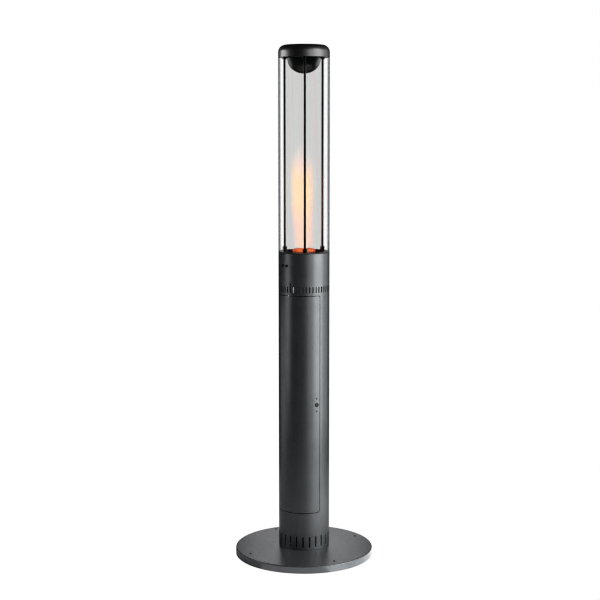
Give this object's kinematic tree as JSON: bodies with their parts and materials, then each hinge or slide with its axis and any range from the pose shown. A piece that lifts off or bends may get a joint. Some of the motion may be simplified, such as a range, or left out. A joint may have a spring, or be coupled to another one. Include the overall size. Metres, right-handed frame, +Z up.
{
  "type": "outdoor heater",
  "caption": "Freestanding gas flame-tower patio heater: weighted round base, round steel column with lockable bottle door, glass flame tube on tie rods, rounded cap.",
  "frame": {"origin": "centre of the base on the ground", "axes": "+Z up along the column; -Y is the front the controls and lock are seen from; +X to the right"},
  "size_m": [0.6, 0.6, 2.2094],
  "materials": {
    "base_powder": "satin powder coat, fine texture",
    "column_powder": "satin powder coat, fine texture",
    "door_powder": "satin powder coat, fine texture",
    "cap_black": "satin black enamel",
    "black_steel": "heat-proof black enamel",
    "ballast_steel": "raw plate",
    "foot_rubber": "matte",
    "seal_black": "matte",
    "screw_steel": "satin",
    "zinc_steel": "zinc plated",
    "lock_nickel": "nickel plated",
    "lever_steel": "satin",
    "valve_brass": "cast",
    "copper": "drawn",
    "black_plastic": "fine grain",
    "igniter_ceramic": "satin",
    "hose_rubber": "smooth",
    "flame_glass": "clear, polished",
    "burner_glow": "glowing mesh"
  },
  "bodies": {
    "stand": {"base_ballast": "ballast_steel", "base_cover": "base_powder", "base_foot_ring": "foot_rubber", "base_screw_1": "screw_steel", "base_screw_2": "screw_steel", "base_screw_3": "screw_steel", "base_screw_4": "screw_steel", "bottle_shelf": "zinc_steel", "burner_deck": "black_steel", "burner_head": "burner_glow", "burner_pipe": "copper", "cap_screw": "screw_steel", "cap_shell": "cap_black", "column_bolt_1": "zinc_steel", "column_bolt_2": "zinc_steel", "column_bolt_3": "zinc_steel", "column_foot_plate": "column_powder", "column_tube": "column_powder", "deflector_dome": "black_steel", "divider_plate": "zinc_steel", "dome_nut": "zinc_steel", "flame_probe": "copper", "gas_hose": "hose_rubber", "gas_regulator": "zinc_steel", "gas_valve": "valve_brass", "glass_seal_lower": "seal_black", "glass_seal_upper": "seal_black", "glass_tube": "flame_glass", "head_plate": "black_steel", "hinge_leaf_column_lower": "column_powder", "hinge_leaf_column_upper": "column_powder", "mixer_tube": "zinc_steel", "piezo_igniter": "igniter_ceramic", "rod_nut_bottom_1": "zinc_steel", "rod_nut_bottom_2": "zinc_steel", "rod_nut_bottom_3": "zinc_steel", "rod_nut_top_1": "zinc_steel", "rod_nut_top_2": "zinc_steel", "rod_nut_top_3": "zinc_steel", "spark_electrode": "igniter_ceramic", "tie_rod_1": "black_steel", "tie_rod_2": "black_steel", "tie_rod_3": "black_steel", "tilt_switch": "black_plastic", "valve_bracket": "zinc_steel"},
    "door": {"door_panel": "door_powder", "hinge_leaf_door_lower": "door_powder", "hinge_leaf_door_upper": "door_powder", "hinge_pin_lower": "zinc_steel", "hinge_pin_upper": "zinc_steel", "lock_body": "lock_nickel", "lock_nut": "zinc_steel", "lock_backplate": "zinc_steel", "lock_rivet_upper": "screw_steel", "lock_rivet_lower": "screw_steel"},
    "lock_barrel": {"lock_plug": "lock_nickel", "lock_cam": "zinc_steel"},
    "flame_lever": {"flame_lever": "lever_steel"},
    "igniter_button": {"igniter_button": "black_plastic"},
    "safety_button": {"safety_button": "black_plastic"}
  },
  "joints": [
    {"name": "door_swing", "type": "hinge", "parent": "stand", "child": "door", "pos_m": [-0.07099, 0.09022, 0.68], "axis": [0, 0, -1], "range_deg": [0, 130]},
    {"name": "lock_turn", "type": "hinge", "parent": "door", "child": "lock_barrel", "pos_m": [0.055, -0.09526, 0.682], "axis": [-0.5, 0.866, 0], "range_deg": [0, 90]},
    {"name": "flame_lever_swing", "type": "hinge", "parent": "stand", "child": "flame_lever", "pos_m": [-0.03313, -0.05241, 1.1892], "axis": [0.8453, -0.5344, 0], "range_deg": [0, 28]},
    {"name": "igniter_button_press", "type": "slide", "parent": "stand", "child": "igniter_button", "axis": [0.749, 0.6626, 0], "range_m": [0, 0.004], "stiffness_N_per_m": 900},
    {"name": "safety_button_press", "type": "slide", "parent": "stand", "child": "safety_button", "axis": [0.749, 0.6626, 0], "range_m": [0, 0.004], "stiffness_N_per_m": 700}
  ]
}
